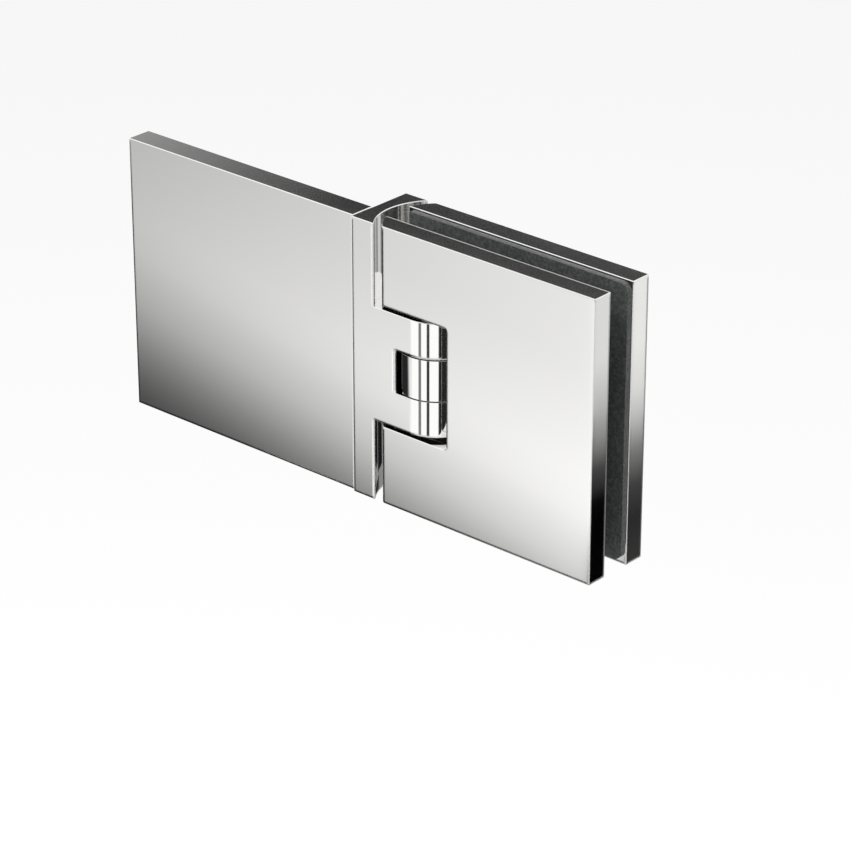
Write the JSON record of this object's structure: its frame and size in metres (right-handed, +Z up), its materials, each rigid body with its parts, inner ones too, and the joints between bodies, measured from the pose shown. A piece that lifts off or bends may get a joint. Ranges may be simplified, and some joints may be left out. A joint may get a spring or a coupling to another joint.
{
  "type": "glass door hinge",
  "caption": "Double-action hinge for a frameless glass door: a covered wall leaf and a door leaf whose two square plates clamp the glass, swinging on a flush knuckle barrel.",
  "frame": {"origin": "centre of the four wall screw holes, on the face that lies against the wall", "axes": "+X along the plates from the wall leaf to the door leaf, +Y into the wall and away from the viewer, +Z up along the pivot axis"},
  "size_m": [0.186, 0.024, 0.09],
  "materials": {
    "polished_chrome": "mirror polished",
    "plated_screw": "plated",
    "steel_pin": "ground",
    "bush_plastic": "matt",
    "gasket_rubber": "matt",
    "liner_plastic": "matt"
  },
  "bodies": {
    "wall_leaf": {"wall_bracket": "polished_chrome", "wall_cover": "polished_chrome", "cover_grub_screw_left": "plated_screw", "cover_grub_screw_right": "plated_screw", "pivot_pin": "steel_pin", "pin_grub_screw_lower": "plated_screw", "pin_grub_screw_upper": "plated_screw"},
    "door_leaf": {"pivot_block": "polished_chrome", "pivot_bush_lower": "bush_plastic", "pivot_bush_upper": "bush_plastic", "front_clamp_plate": "polished_chrome", "back_clamp_plate": "polished_chrome", "front_gasket": "gasket_rubber", "back_gasket": "gasket_rubber", "cutout_liner": "liner_plastic", "locating_dowel_upper": "steel_pin", "locating_dowel_lower": "steel_pin", "clamp_screw_1": "plated_screw", "clamp_screw_2": "plated_screw", "clamp_screw_3": "plated_screw", "clamp_screw_4": "plated_screw"}
  },
  "joints": [
    {"name": "door_swing", "type": "hinge", "parent": "wall_leaf", "child": "door_leaf", "pos_m": [0.07, 0.0025, 0], "axis": [0, 0, 1], "range_deg": [-90, 90]}
  ]
}
